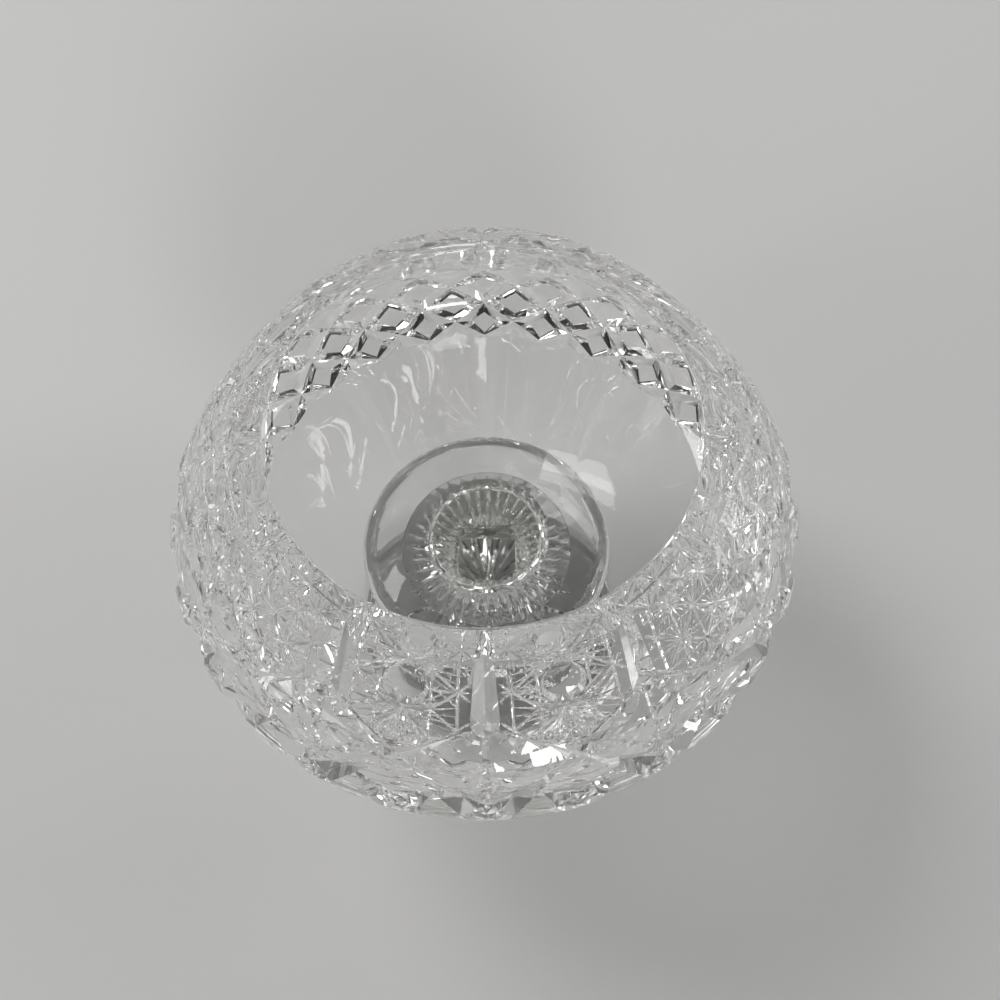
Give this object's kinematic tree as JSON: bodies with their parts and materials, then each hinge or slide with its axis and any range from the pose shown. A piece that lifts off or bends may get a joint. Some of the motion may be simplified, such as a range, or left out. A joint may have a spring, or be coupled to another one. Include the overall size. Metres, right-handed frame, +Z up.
{
  "type": "compote vase",
  "caption": "Cut-glass compote vase: squat round bowl with an in-turned shoulder and mitre cutting, on a collar, a fluted stem with a square neck and a round star-cut foot.",
  "frame": {"origin": "centre of the foot's underside, on the surface that the vase stands on", "axes": "+Z up along the vase's axis, -Y towards the side that the picture shows in front"},
  "size_m": [0.169, 0.169, 0.14],
  "materials": {
    "cut_crystal": "polished clear lead crystal with cut facets",
    "clear_bond": "clear cured film"
  },
  "bodies": {
    "root": {"bowl": "cut_crystal", "bowl_bond": "clear_bond", "collar": "cut_crystal", "stem": "cut_crystal", "foot": "cut_crystal"}
  },
  "joints": []
}
